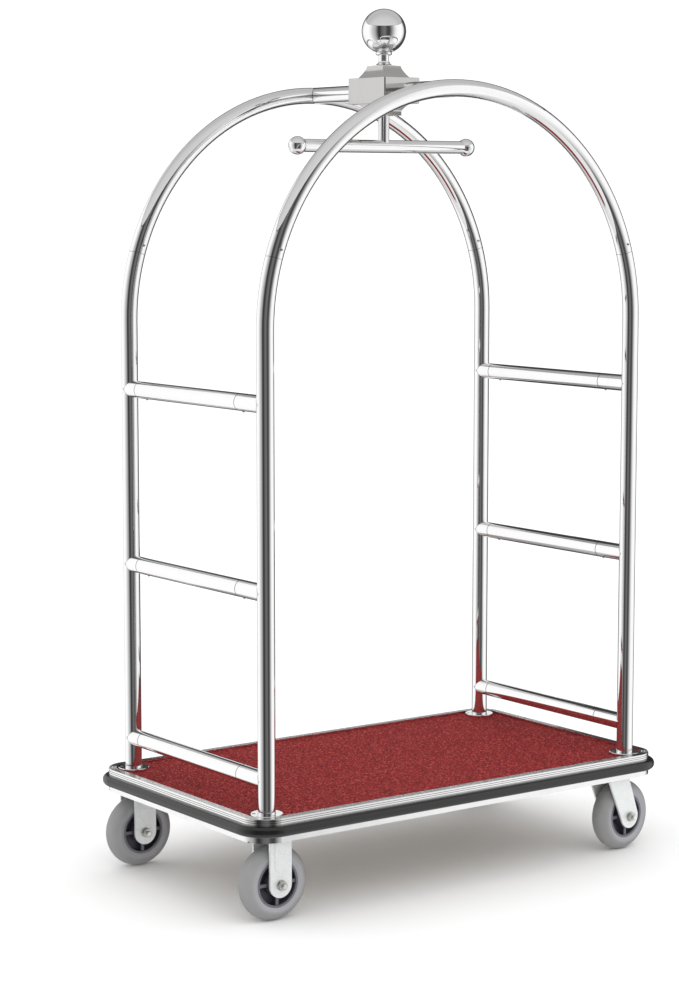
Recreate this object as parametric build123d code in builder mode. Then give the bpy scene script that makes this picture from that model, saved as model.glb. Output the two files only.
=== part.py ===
from build123d import *
import os
from math import cos, degrees, radians, sin

os.makedirs("parts", exist_ok=True)

# Hotel luggage cart. Millimetres, +Z up, +X towards the swivel casters (right), +Y to the rear.
# The origin is on the floor under the middle of the platform.

# ---- overall sizes ----
overall_height = 1854.2
platform_length = 1084.0       # over the trim, without its bumper
platform_width = 620.0

# ---- platform ----
board_thickness = 20.0
carpet_thickness = 5.0
fit_gap = 0.5                  # board and carpet inside the trim
corner_radius = 57.0           # of the trim's outline
trim_wall = 2.5
trim_lip_width = 17.0
trim_lip_thickness = 4.0
trim_edge_radius = 2.0
skirt_drop = 20.5              # trim below the underside of the board
skirt_flange_width = 6.0
groove_depth = 0.9
groove_height = 1.1
groove_pitch = 4.0
groove_count = 3
bumper_depth = 13.0
bumper_height = 22.0
bumper_flat = 3.0              # straight part of the bumper before its round nose
rail_size = 20.0
rail_wall = 2.0
rail_offset = 180.0            # side rails from the middle of the platform
cross_rail_offset = 260.0
skirt_screw_radius = 4.0
skirt_screw_head = 3.0
skirt_screw_depth = 8.0        # into the board
skirt_screw_end_inset = 16.0   # screws from the ends and from the sides of the platform
skirt_screw_side_inset = 42.0
skirt_tab_radius = 7.0

# ---- posts, arches and rungs ----
tube_diameter = 36.0
tube_wall = 2.0
post_gap_x = 6.5               # between a post's flange and the lip of the trim
post_gap_y = 1.5
post_socket_depth = 16.0       # post in the board
post_clearance = 0.2
joint_gap = 0.8
weld_gap = 0.05                # between a stub's shaped end and the arch it is welded to
sleeve_clearance = 0.05
arch_joint_angle = 17.0        # joint in each leg, above the level where the bend starts
arch_sleeve_angle = 5.0        # half of the sleeve's length along the bend
screw_angle = 2.2              # set screw above the joint
rung_heights = {"lower": 70.0, "middle": 452.0, "upper": 830.0}    # above the carpet
front_stub_length = 68.0       # from the side of the post to the joint
rear_stub_length = 28.0
rung_sleeve_in_stub = 26.0     # sleeve on either side of a rung's joint
rung_sleeve_in_rung = 34.0
front_screw_offset = 8.0       # set screw from the joint, on the stub
rear_screw_offset = 24.0       # set screw from the joint, on the rung
set_screw_radius = 2.5
set_screw_tip = 2.2            # how far a set screw stands out of the tube
post_flange_rim = 15.5         # flange beyond the side of the post
post_flange_thickness = 4.0
post_flange_chamfer = 1.2
flange_screw_reach = 8.5       # screws from the side of the post
flange_screw_radius = 2.0
flange_screw_head_radius = 4.0
flange_screw_depth = 8.0       # into the board
flange_screw_count = 3
flange_screw_start = 30.0

# ---- crown, ball and garment bar ----
crown_length = 131.0           # along Y, from stub to stub
crown_width = 94.0
crown_height = 51.0
crown_rise = 2.0               # middle of the block above the arch tops
crown_wall = 3.0
crown_edge = 3.0
crown_lip = 2.0
cap_height = 28.0
cap_foot_length = 96.0
cap_foot_width = 68.0
lip_edge = 0.8
taper_power = 1.5              # how hollow the sides of the cap and the base are
taper_steps = 5
cap_top_length = 56.0
cap_top_width = 48.0
base_drop = 18.0
base_foot_length = 60.0
base_foot_width = 50.0
base_foot_height = 8.5
ball_diameter = 95.4
ball_wall = 2.0
ball_sink = 4.2                # flat cut off the ball where it sits on its neck
neck_height = 29.5
neck_foot_radius = 23.5
neck_radius = 11.3
neck_lip = 1.0
flare_height = 11.0
flare_bow = 3.5                # the middle of the flare's arc, out from the neck
flare_bow_height = 0.36
bead_radius = 17.5
bead_height = 7.0
tie_rod_radius = 4.0
rod_clearance = 0.3
rod_end = 8.0                  # rod inside the ball
stem_plug = 15.0
stem_diameter = 23.8
stem_wall = 2.0
garment_bar_drop = 115.5       # below the centreline of the arch tops
garment_bar_diameter = 28.0
garment_bar_length = 432.0
bar_ball_diameter = 39.0
bar_ball_spacing = 452.0

# ---- casters ----
wheel_diameter = 156.0
tyre_width = 48.0
tyre_side_radius = 58.0
tyre_bore_radius = 49.5
hub_rim_wall = 5.0
hub_rim_inset = 3.0            # rim of the hub inside the width of the tyre
hub_web = 9.0
hub_boss_radius = 26.0
hub_boss_rise = 2.5            # boss beyond the side of the tyre
rib_width = 7.0
rib_setback = 3.0              # ribs below the edge of the hub's rim
rib_count = 4
axle_sleeve_radius = 8.0
running_clearance = 0.05
bolt_radius = 5.0
bolt_head_radius = 9.8         # across corners
bolt_head_height = 6.4
nut_height = 8.0
washer_radius = 11.0
washer_thickness = 2.0
bolt_tip = 5.0
bolt_tip_chamfer = 1.0
fork_clearance = 1.0           # between the boss and a leg
wheel_clearance = 31.0         # between a wheel and its plate
fork_wall = 5.0
fork_leg_width = 53.0
panel_width = 31.0
panel_height = 1.2
panel_end_above_axle = 41.0
panel_taper = 20.0
leg_edge = 1.0
plate_length = 80.0
plate_width = 70.0
plate_corner = 14.0
plate_thickness = 5.0
plate_bolt_x = 66.0
plate_bolt_y = 42.0
plate_bolt_radius = 3.0
plate_bolt_head_radius = 6.0
plate_bolt_head_height = 4.0
plate_bolt_depth = 10.0        # into the board
plate_hole_clearance = 0.3
rigid_caster_inset = 68.0      # caster centres from the ends and the sides of the platform
swivel_caster_inset = 114.5
caster_side_inset = 50.0
swivel_trail = 47.0
swivel_turn = 6.0              # how far the swivel casters are turned at rest
raceway_radius = 33.0
raceway_height = 8.0
swivel_gap = 0.5
crown_disc_radius = 36.0
crown_disc_height = 8.0
fork_web = 4.5
fork_top_back = 21.0           # top of a slanted leg, behind and ahead of the swivel axis
fork_top_front = 42.0
kingpin_radius = 7.0
kingpin_head_radius = 12.0
kingpin_head_height = 6.0

# ---- sizes that follow from the ones above ----
caster_height = wheel_diameter + wheel_clearance + plate_thickness
crown_top_drop = ball_diameter - ball_sink + neck_height + cap_height
arch_top_height = overall_height - crown_top_drop - crown_height / 2 - crown_rise
garment_bar_height = arch_top_height - garment_bar_drop
tube_radius = tube_diameter / 2
post_flange_radius = tube_radius + post_flange_rim
flange_screw_circle = 2 * (tube_radius + flange_screw_reach)
post_spacing_x = platform_length - 2 * (trim_lip_width + post_gap_x + post_flange_radius)
post_spacing_y = platform_width - 2 * (trim_lip_width + post_gap_y + post_flange_radius)
hub_rim_width = tyre_width - 2 * hub_rim_inset
hub_boss_length = tyre_width + 2 * hub_boss_rise
fork_gap = hub_boss_length + 2 * fork_clearance
rigid_caster_x = rigid_caster_inset - platform_length / 2
swivel_caster_x = platform_length / 2 - swivel_caster_inset
caster_y = platform_width / 2 - caster_side_inset
bore_radius = tube_radius - tube_wall
sleeve_radius = bore_radius - sleeve_clearance
post_x = post_spacing_x / 2
post_y = post_spacing_y / 2
arch_radius = post_x
spring_height = arch_top_height - arch_radius
board_top = caster_height + board_thickness
carpet_top = board_top + carpet_thickness
trim_top = carpet_top + trim_lip_thickness
trim_bottom = caster_height - skirt_drop
groove_top = trim_top - trim_edge_radius - groove_pitch / 2
bumper_top = groove_top - groove_pitch * (groove_count - 1) - groove_height - groove_pitch / 2
bumper_nose = bumper_depth - bumper_flat
wheel_radius = wheel_diameter / 2
block_bottom = arch_top_height + crown_rise - crown_height / 2
block_top = block_bottom + crown_height
cap_top = block_top + cap_height
ball_seat = cap_top + neck_height
ball_centre = overall_height - ball_diameter / 2
base_bottom = block_bottom - base_drop - base_foot_height
plate_bottom = caster_height - plate_thickness
raceway_bottom = plate_bottom - raceway_height
crown_disc_top = raceway_bottom - swivel_gap
web_top = crown_disc_top - crown_disc_height
leg_inside = fork_gap / 2
leg_outside = leg_inside + fork_wall
side_rail_length = platform_length - 2 * (skirt_flange_width + fit_gap)
skirt_screw_spacing_x = platform_length - 2 * skirt_screw_end_inset
skirt_screw_spacing_y = platform_width - 2 * skirt_screw_side_inset

sides = {"front": -1, "rear": 1}
ends = {"left": -1, "right": 1}


def write(part, node):
    """Label a finished piece and write it to its own file."""
    part.label = node
    export_step(part, f"parts/{node}.step")


def outline(inset, mode=Mode.ADD):
    """The platform's outline, moved in from the trim's outer face."""
    RectangleRounded(
        platform_length - 2 * inset, platform_width - 2 * inset, corner_radius - inset, mode=mode
    )


def arch_plane(sx, y, angle):
    """A plane across the bend, at an angle above its start, facing along the bend."""
    a = radians(angle)
    return Plane(
        origin=(sx * arch_radius * cos(a), y, spring_height + arch_radius * sin(a)),
        x_dir=(cos(a), 0, sx * sin(a)),
        z_dir=(-sx * sin(a), 0, cos(a)),
    )


def bend_axis(sx, y):
    """The axis that carries a section up the bend from the side sx."""
    return Axis((0, y, spring_height), (0, -sx, 0))



# ---- platform ----
board_inset = trim_wall + fit_gap
caster_centres = [(x, sy * caster_y) for x in (rigid_caster_x, swivel_caster_x) for sy in (-1, 1)]

with BuildPart() as deck_board:
    with BuildSketch(Plane.XY.offset(caster_height)):
        outline(board_inset)
    extrude(amount=board_thickness)
    with BuildSketch(Plane.XY.offset(board_top - post_socket_depth)):
        with GridLocations(post_spacing_x, post_spacing_y, 2, 2):
            Circle(tube_radius + post_clearance)
    extrude(amount=post_socket_depth, mode=Mode.SUBTRACT)
    with BuildSketch(Plane.XY.offset(caster_height)):
        with Locations(*caster_centres):
            with GridLocations(plate_bolt_x, plate_bolt_y, 2, 2):
                Circle(plate_bolt_radius)
    extrude(amount=plate_bolt_depth, mode=Mode.SUBTRACT)
    with BuildSketch(Plane.XY.offset(caster_height)):
        with GridLocations(skirt_screw_spacing_x, skirt_screw_spacing_y, 2, 2):
            Circle(skirt_screw_radius / 2)
    extrude(amount=skirt_screw_depth, mode=Mode.SUBTRACT)
    with BuildSketch(Plane.XY.offset(board_top)):
        with GridLocations(post_spacing_x, post_spacing_y, 2, 2):
            with PolarLocations(flange_screw_circle / 2, flange_screw_count, flange_screw_start):
                Circle(flange_screw_radius)
    extrude(amount=-flange_screw_depth, mode=Mode.SUBTRACT)
write(deck_board.part, "deck_board")

with BuildPart() as deck_carpet:
    with BuildSketch(Plane.XY.offset(board_top)):
        outline(board_inset)
        with GridLocations(post_spacing_x, post_spacing_y, 2, 2):
            Circle(tube_radius + post_clearance, mode=Mode.SUBTRACT)
            with PolarLocations(flange_screw_circle / 2, flange_screw_count, flange_screw_start):
                Circle(flange_screw_radius, mode=Mode.SUBTRACT)
    extrude(amount=carpet_thickness)
write(deck_carpet.part, "deck_carpet")

with BuildPart() as deck_trim:
    with BuildSketch(Plane.XY.offset(trim_bottom)):
        outline(0)
        outline(trim_wall, Mode.SUBTRACT)
    extrude(amount=trim_top - trim_bottom)
    with BuildSketch(Plane.XY.offset(carpet_top)):
        outline(0)
        outline(trim_lip_width, Mode.SUBTRACT)
    extrude(amount=trim_lip_thickness)
    fillet(deck_trim.faces().sort_by(Axis.Z)[-1].outer_wire().edges(), trim_edge_radius)
    with BuildSketch(Plane.XY.offset(trim_bottom)):
        outline(0)
        outline(skirt_flange_width, Mode.SUBTRACT)
        with GridLocations(skirt_screw_spacing_x, skirt_screw_spacing_y, 2, 2):
            RectangleRounded(2 * skirt_screw_end_inset - 1, 2 * skirt_tab_radius, skirt_tab_radius - 1)
    extrude(amount=trim_wall)
    for row in range(groove_count):
        with BuildSketch(Plane.XY.offset(groove_top - row * groove_pitch - groove_height)):
            outline(0)
            outline(groove_depth, Mode.SUBTRACT)
        extrude(amount=groove_height, mode=Mode.SUBTRACT)
    with BuildSketch(Plane.XY.offset(trim_bottom)):
        with GridLocations(skirt_screw_spacing_x, skirt_screw_spacing_y, 2, 2):
            Circle(skirt_screw_radius / 2)
    extrude(amount=trim_wall, mode=Mode.SUBTRACT)
write(deck_trim.part, "deck_trim")

with BuildPart() as deck_bumper:
    with BuildSketch(Plane.XY.offset(bumper_top - bumper_height)):
        outline(-bumper_depth)
        outline(0, Mode.SUBTRACT)
    extrude(amount=bumper_height)
    nose_edges = deck_bumper.faces().sort_by(Axis.Z)[-1].outer_wire().edges()
    nose_edges += deck_bumper.faces().sort_by(Axis.Z)[0].outer_wire().edges()
    fillet(nose_edges, bumper_nose)
write(deck_bumper.part, "deck_bumper")

with BuildPart() as skirt_screws:
    with BuildSketch(Plane.XY.offset(trim_bottom)):
        with GridLocations(skirt_screw_spacing_x, skirt_screw_spacing_y, 2, 2):
            Circle(skirt_screw_radius)
    extrude(amount=-skirt_screw_head)
    fillet(skirt_screws.faces().sort_by(Axis.Z)[:4].edges(), skirt_screw_head / 2)
    with BuildSketch(Plane.XY.offset(trim_bottom)):
        with GridLocations(skirt_screw_spacing_x, skirt_screw_spacing_y, 2, 2):
            Circle(skirt_screw_radius / 2)
    extrude(amount=skirt_drop + skirt_screw_depth)
write(skirt_screws.part, "skirt_screws")

rail_middle = caster_height - rail_size / 2
with BuildPart() as side_rails:
    with BuildSketch(Plane.YZ.offset(-side_rail_length / 2)):
        with Locations((-rail_offset, rail_middle), (rail_offset, rail_middle)):
            Rectangle(rail_size, rail_size)
            Rectangle(rail_size - 2 * rail_wall, rail_size - 2 * rail_wall, mode=Mode.SUBTRACT)
    extrude(amount=side_rail_length)
write(side_rails.part, "side_rails")

cross_rail_length = 2 * rail_offset - rail_size
with BuildPart() as cross_rails:
    with BuildSketch(Plane.XZ.offset(-cross_rail_length / 2)):
        with Locations((-cross_rail_offset, rail_middle), (cross_rail_offset, rail_middle)):
            Rectangle(rail_size, rail_size)
            Rectangle(rail_size - 2 * rail_wall, rail_size - 2 * rail_wall, mode=Mode.SUBTRACT)
    extrude(amount=cross_rail_length)
write(cross_rails.part, "cross_rails")

# ---- posts, their flanges, and the arches ----
post_bottom = board_top - post_socket_depth
gap_angle = degrees(joint_gap / arch_radius)
screw_start = bore_radius - tube_wall
arch_screw_angle = arch_joint_angle + screw_angle

for side, sy in sides.items():
    y = sy * post_y
    for end, sx in ends.items():
        with BuildPart() as post:
            with BuildSketch(Plane((sx * post_x, y, post_bottom))):
                Circle(tube_radius)
                Circle(bore_radius, mode=Mode.SUBTRACT)
            extrude(amount=spring_height - post_bottom)
            with BuildSketch(arch_plane(sx, y, 0)):
                Circle(tube_radius)
                Circle(bore_radius, mode=Mode.SUBTRACT)
            revolve(axis=bend_axis(sx, y), revolution_arc=arch_joint_angle)
        write(post.part, f"post_{side}_{end}")

    with BuildPart() as arch:
        with BuildSketch(arch_plane(1, y, arch_joint_angle + gap_angle)):
            Circle(tube_radius)
            Circle(bore_radius, mode=Mode.SUBTRACT)
        revolve(axis=bend_axis(1, y), revolution_arc=180 - 2 * (arch_joint_angle + gap_angle))
        for sx in (-1, 1):
            spot = arch_plane(sx, y, arch_screw_angle).origin
            with BuildSketch(Plane(origin=spot, x_dir=(1, 0, 0), z_dir=(0, -1, 0))):
                Circle(set_screw_radius)
            extrude(amount=tube_diameter, mode=Mode.SUBTRACT)
    write(arch.part, f"arch_{side}")

with BuildPart() as arch_sleeves:
    for sy in (-1, 1):
        for sx in (-1, 1):
            y = sy * post_y
            with BuildSketch(arch_plane(sx, y, arch_joint_angle - arch_sleeve_angle)):
                Circle(sleeve_radius)
                Circle(screw_start, mode=Mode.SUBTRACT)
            revolve(axis=bend_axis(sx, y), revolution_arc=2 * arch_sleeve_angle)
            spot = arch_plane(sx, y, arch_screw_angle).origin
            with BuildSketch(Plane(origin=spot, x_dir=(1, 0, 0), z_dir=(0, -1, 0))):
                Circle(set_screw_radius)
            extrude(amount=tube_diameter, mode=Mode.SUBTRACT)
write(arch_sleeves.part, "arch_sleeves")

with BuildPart() as post_flanges:
    with BuildSketch(Plane.XY.offset(carpet_top)):
        with GridLocations(post_spacing_x, post_spacing_y, 2, 2):
            Circle(post_flange_radius)
            Circle(tube_radius + post_clearance, mode=Mode.SUBTRACT)
    extrude(amount=post_flange_thickness)
    tops = post_flanges.faces().sort_by(Axis.Z)[-4:]
    chamfer([top.outer_wire().edges() for top in tops], post_flange_chamfer)
    with Locations((0, 0, carpet_top + post_flange_thickness)):
        with GridLocations(post_spacing_x, post_spacing_y, 2, 2):
            with PolarLocations(flange_screw_circle / 2, flange_screw_count, flange_screw_start):
                CounterSinkHole(flange_screw_radius, flange_screw_head_radius)
write(post_flanges.part, "post_flanges")

with BuildPart() as flange_screws:
    with BuildSketch(Plane.XY.offset(carpet_top + post_flange_thickness)):
        with GridLocations(post_spacing_x, post_spacing_y, 2, 2):
            with PolarLocations(flange_screw_circle / 2, flange_screw_count, flange_screw_start):
                Circle(flange_screw_head_radius)
    extrude(amount=flange_screw_radius - flange_screw_head_radius, taper=45)
    with BuildSketch(Plane.XY.offset(board_top - flange_screw_depth)):
        with GridLocations(post_spacing_x, post_spacing_y, 2, 2):
            with PolarLocations(flange_screw_circle / 2, flange_screw_count, flange_screw_start):
                Circle(flange_screw_radius)
    extrude(amount=flange_screw_depth + carpet_thickness + flange_screw_radius)
write(flange_screws.part, "flange_screws")

# ---- rungs: a long stub at the front post, a short one at the rear post, the rung between them ----
front_joint_y = -post_y + tube_radius + front_stub_length
rear_joint_y = post_y - tube_radius - rear_stub_length
front_screw_y = front_joint_y - front_screw_offset
rear_screw_y = rear_joint_y - rear_screw_offset
rung_levels = {name: carpet_top + height for name, height in rung_heights.items()}
screwed_rungs = ("middle", "upper")


def tube_along_y(x, z, y_from, y_to, outside, inside, mode=Mode.ADD):
    """A straight tube between two places along the cart's width."""
    with BuildSketch(Plane(origin=(x, y_from, z), x_dir=(1, 0, 0), z_dir=(0, 1, 0))) as section:
        Circle(outside)
        Circle(inside, mode=Mode.SUBTRACT)
    extrude(section.sketch, amount=y_to - y_from, mode=mode)


def set_screw(x, y, z, mode=Mode.ADD):
    """A set screw that comes up from under a rung."""
    with BuildSketch(Plane((x, y, z - tube_radius - set_screw_tip))) as section:
        Circle(set_screw_radius)
    extrude(section.sketch, amount=tube_radius + set_screw_tip - screw_start, mode=mode)


for end, sx in ends.items():
    x = sx * post_x
    for name, z in rung_levels.items():
        with BuildPart() as rung:
            tube_along_y(x, z, front_joint_y + joint_gap, rear_joint_y - joint_gap, tube_radius, bore_radius)
            if name in screwed_rungs:
                set_screw(x, rear_screw_y, z, Mode.SUBTRACT)
        write(rung.part, f"rung_{end}_{name}")

    for side, sy, joint_y in (("front", -1, front_joint_y), ("rear", 1, rear_joint_y)):
        with BuildPart() as rung_stubs:
            for name, z in rung_levels.items():
                tube_along_y(x, z, sy * post_y, joint_y, tube_radius, bore_radius)
                if name in screwed_rungs:
                    set_screw(x, front_screw_y, z, Mode.SUBTRACT)
            with BuildSketch(Plane((x, sy * post_y, board_top))):
                Circle(tube_radius)
            extrude(amount=spring_height - board_top, mode=Mode.SUBTRACT)
        write(rung_stubs.part, f"rung_stubs_{side}_{end}")

with BuildPart() as rung_sleeves:
    for x in (-post_x, post_x):
        for name, z in rung_levels.items():
            front_ends = (front_joint_y - rung_sleeve_in_stub, front_joint_y + rung_sleeve_in_rung)
            rear_ends = (rear_joint_y - rung_sleeve_in_rung, rear_joint_y + rung_sleeve_in_stub)
            for (y_from, y_to), screw_y in ((front_ends, front_screw_y), (rear_ends, rear_screw_y)):
                tube_along_y(x, z, y_from, y_to, sleeve_radius, screw_start)
                if name in screwed_rungs:
                    set_screw(x, screw_y, z, Mode.SUBTRACT)
write(rung_sleeves.part, "rung_sleeves")

with BuildPart() as set_screws:
    for x in (-post_x, post_x):
        for name in screwed_rungs:
            z = rung_levels[name]
            for screw_y in (front_screw_y, rear_screw_y):
                set_screw(x, screw_y, z)
    for sy in (-1, 1):
        for sx in (-1, 1):
            spot = arch_plane(sx, sy * post_y - screw_start, arch_screw_angle).origin
            with BuildSketch(Plane(origin=spot, x_dir=(1, 0, 0), z_dir=(0, -1, 0))):
                Circle(set_screw_radius)
            extrude(amount=tube_radius + set_screw_tip - screw_start)
write(set_screws.part, "set_screws")

# ---- crown ----
for side, sy in sides.items():
    with BuildPart() as crown_stub:
        tube_along_y(0, arch_top_height, sy * crown_length / 2, sy * post_y, tube_radius, bore_radius)
        with BuildSketch(arch_plane(1, sy * post_y, 80)):
            Circle(tube_radius + weld_gap)
        revolve(axis=bend_axis(1, sy * post_y), revolution_arc=20, mode=Mode.SUBTRACT)
    write(crown_stub.part, f"crown_stub_{side}")

with BuildPart() as crown_block:
    with BuildSketch(Plane.XY.offset(block_bottom)):
        RectangleRounded(crown_width, crown_length, crown_edge)
        Rectangle(crown_width - 2 * crown_wall, crown_length - 2 * crown_wall, mode=Mode.SUBTRACT)
    extrude(amount=crown_height)
write(crown_block.part, "crown_block")


def pyramid(level, direction, foot, top, height):
    """A four-sided taper with concave sides, from a rectangle to a smaller one."""
    sections = []
    for step in range(taper_steps + 1):
        up = step / taper_steps
        narrow = 1 - (1 - up) ** taper_power
        width = foot[0] + (top[0] - foot[0]) * narrow
        length = foot[1] + (top[1] - foot[1]) * narrow
        with BuildSketch(Plane.XY.offset(level + direction * up * height)) as section:
            Rectangle(width, length)
        sections.append(section.sketch)
    loft(sections)


with BuildPart() as crown_cap:
    with BuildSketch(Plane.XY.offset(block_top)):
        RectangleRounded(crown_width, crown_length, crown_edge)
    extrude(amount=crown_lip)
    fillet(crown_cap.faces().sort_by(Axis.Z)[-1].edges(), lip_edge)
    pyramid(
        block_top + crown_lip, 1, (cap_foot_width, cap_foot_length), (cap_top_width, cap_top_length),
        cap_height - crown_lip,
    )
    with Locations((0, 0, cap_top)):
        Hole(tie_rod_radius + rod_clearance)
write(crown_cap.part, "crown_cap")

with BuildPart() as crown_base:
    with BuildSketch(Plane.XY.offset(block_bottom)):
        RectangleRounded(crown_width, crown_length, crown_edge)
    extrude(amount=-crown_lip)
    fillet(crown_base.faces().sort_by(Axis.Z)[0].edges(), lip_edge)
    pyramid(
        block_bottom - crown_lip, -1, (cap_foot_width, cap_foot_length),
        (base_foot_width, base_foot_length), base_drop - crown_lip,
    )
    with BuildSketch(Plane.XY.offset(base_bottom)):
        Rectangle(base_foot_width, base_foot_length)
    extrude(amount=base_foot_height)
    with Locations((0, 0, block_bottom)):
        Hole(tie_rod_radius + rod_clearance)
write(crown_base.part, "crown_base")

with BuildPart() as finial_neck:
    with BuildSketch(Plane.XZ):
        with BuildLine():
            rod_side = tie_rod_radius + rod_clearance
            Polyline((rod_side, ball_seat), (rod_side, cap_top), (neck_foot_radius, cap_top))
            Line((neck_foot_radius, cap_top), (neck_foot_radius, cap_top + neck_lip))
            ThreePointArc(
                (neck_foot_radius, cap_top + neck_lip),
                (neck_radius + flare_bow, cap_top + flare_height * flare_bow_height),
                (neck_radius, cap_top + flare_height),
            )
            Line((neck_radius, cap_top + flare_height), (neck_radius, ball_seat - bead_height))
            ThreePointArc(
                (neck_radius, ball_seat - bead_height),
                (bead_radius, ball_seat - bead_height / 2),
                (bead_radius - bead_height / 4, ball_seat),
            )
            Line((bead_radius - bead_height / 4, ball_seat), (rod_side, ball_seat))
        make_face()
    revolve(axis=Axis.Z)
write(finial_neck.part, "finial_neck")

with BuildPart() as finial_ball:
    with Locations((0, 0, ball_centre)):
        Sphere(ball_diameter / 2)
        Sphere(ball_diameter / 2 - ball_wall, mode=Mode.SUBTRACT)
    with BuildSketch(Plane.XY.offset(ball_seat)):
        Circle(ball_diameter / 2)
    extrude(amount=-ball_diameter / 2, mode=Mode.SUBTRACT)
write(finial_ball.part, "finial_ball")

rod_bottom = base_bottom - stem_plug
with BuildPart() as tie_rod:
    with BuildSketch(Plane.XY.offset(rod_bottom)):
        Circle(tie_rod_radius)
    extrude(amount=ball_seat + rod_end - rod_bottom)
write(tie_rod.part, "tie_rod")

# ---- hanger ----
with BuildPart() as hanger_stem:
    with BuildSketch(Plane.XY.offset(garment_bar_height)):
        Circle(stem_diameter / 2)
        Circle(stem_diameter / 2 - stem_wall, mode=Mode.SUBTRACT)
    extrude(amount=base_bottom - garment_bar_height)
    with BuildSketch(Plane.XY.offset(base_bottom - stem_plug)):
        Circle(stem_diameter / 2)
        Circle(tie_rod_radius + rod_clearance, mode=Mode.SUBTRACT)
    extrude(amount=stem_plug)
    with BuildSketch(Plane(origin=(-stem_diameter, 0, garment_bar_height), z_dir=(1, 0, 0))):
        Circle(garment_bar_diameter / 2)
    extrude(amount=2 * stem_diameter, mode=Mode.SUBTRACT)
write(hanger_stem.part, "hanger_stem")

bar_start = Plane(origin=(-garment_bar_length / 2, 0, garment_bar_height), z_dir=(1, 0, 0))
with BuildPart() as garment_bar:
    with BuildSketch(bar_start):
        Circle(garment_bar_diameter / 2)
        Circle(garment_bar_diameter / 2 - tube_wall, mode=Mode.SUBTRACT)
    extrude(amount=garment_bar_length)
write(garment_bar.part, "garment_bar")

with BuildPart() as bar_end_balls:
    with Locations(
        (-bar_ball_spacing / 2, 0, garment_bar_height),
        (bar_ball_spacing / 2, 0, garment_bar_height),
    ):
        Sphere(bar_ball_diameter / 2)
    with BuildSketch(bar_start):
        Circle(garment_bar_diameter / 2)
    extrude(amount=garment_bar_length, mode=Mode.SUBTRACT)
write(bar_end_balls.part, "bar_end_balls")

# ---- casters, each made at the origin and then placed ----
axle = Axis((0, 0, wheel_radius), (0, 1, 0))
wheel_face = Plane(origin=(0, 0, wheel_radius), x_dir=(1, 0, 0), z_dir=(0, -1, 0))
axle_hole = bolt_radius + running_clearance

with BuildPart() as tyre:
    with BuildSketch(Plane.YZ):
        with BuildLine():
            bead_half = hub_rim_width / 2
            bead_line = Line(
                (-bead_half, wheel_radius + tyre_bore_radius), (bead_half, wheel_radius + tyre_bore_radius)
            )
            wall = Line(bead_line @ 1, (tyre_width / 2, wheel_radius + tyre_side_radius))
            tread = ThreePointArc(
                wall @ 1, (0, 2 * wheel_radius), (-tyre_width / 2, wheel_radius + tyre_side_radius)
            )
            Line(tread @ 1, bead_line @ 0)
        make_face()
    revolve(axis=axle)

with BuildPart() as hub:
    with BuildSketch(Plane.YZ):
        with Locations((0, wheel_radius)):
            with Locations((0, (hub_boss_radius + axle_sleeve_radius + running_clearance) / 2)):
                Rectangle(hub_boss_length, hub_boss_radius - axle_sleeve_radius - running_clearance)
            with Locations((0, (hub_boss_radius + tyre_bore_radius) / 2 - hub_rim_wall / 2)):
                Rectangle(hub_web, tyre_bore_radius - hub_boss_radius)
            with Locations((0, tyre_bore_radius - hub_rim_wall / 2)):
                Rectangle(hub_rim_width, hub_rim_wall)
    revolve(axis=axle)
    rib_length = tyre_bore_radius - hub_rim_wall - hub_boss_radius
    with BuildSketch(wheel_face):
        with PolarLocations(hub_boss_radius + rib_length / 2, rib_count):
            Rectangle(rib_length + hub_rim_wall, rib_width)
    extrude(amount=hub_rim_width / 2 - rib_setback, both=True)

with BuildPart() as axle_set:
    with BuildSketch(wheel_face.offset(-leg_outside)):
        Circle(bolt_radius)
    extrude(amount=2 * leg_outside + washer_thickness + nut_height + bolt_tip)
    with BuildSketch(wheel_face.offset(-leg_outside)):
        RegularPolygon(bolt_head_radius, 6)
    extrude(amount=-bolt_head_height)
    tip = axle_set.faces().sort_by(Axis.Y)[0]
    chamfer(tip.edges(), bolt_tip_chamfer)

with BuildPart() as axle_sleeve:
    with BuildSketch(wheel_face.offset(-leg_inside)):
        Circle(axle_sleeve_radius)
        Circle(axle_hole, mode=Mode.SUBTRACT)
    extrude(amount=fork_gap)

with BuildPart() as axle_nut:
    with BuildSketch(wheel_face.offset(leg_outside)):
        Circle(washer_radius)
        Circle(bolt_radius, mode=Mode.SUBTRACT)
    extrude(amount=washer_thickness)
    with BuildSketch(wheel_face.offset(leg_outside + washer_thickness)):
        RegularPolygon(bolt_head_radius, 6)
        Circle(bolt_radius, mode=Mode.SUBTRACT)
    extrude(amount=nut_height)

with BuildPart() as rigid_fork:
    with BuildSketch(Plane.XZ.offset(leg_inside)):
        with Locations((0, (wheel_radius + plate_bottom) / 2)):
            Rectangle(fork_leg_width, plate_bottom - wheel_radius)
        with Locations((0, wheel_radius)):
            Circle(fork_leg_width / 2)
            Circle(axle_hole, mode=Mode.SUBTRACT)
    extrude(amount=fork_wall)
    fillet(rigid_fork.faces().sort_by(Axis.Y)[0].outer_wire().edges(), leg_edge)
    panel_foot = wheel_radius + panel_end_above_axle
    with BuildSketch(Plane.XZ.offset(leg_outside)):
        with Locations((0, (panel_foot + plate_bottom) / 2)):
            Rectangle(panel_width, plate_bottom - panel_foot)
        with Locations((0, panel_foot)):
            Circle(panel_width / 2)
    extrude(amount=panel_height, taper=panel_taper)
    mirror(about=Plane.XZ)
    with BuildSketch(Plane.XY.offset(plate_bottom)):
        RectangleRounded(plate_length, plate_width, plate_corner)
        with GridLocations(plate_bolt_x, plate_bolt_y, 2, 2):
            Circle(plate_bolt_radius + plate_hole_clearance, mode=Mode.SUBTRACT)
    extrude(amount=plate_thickness)

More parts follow.
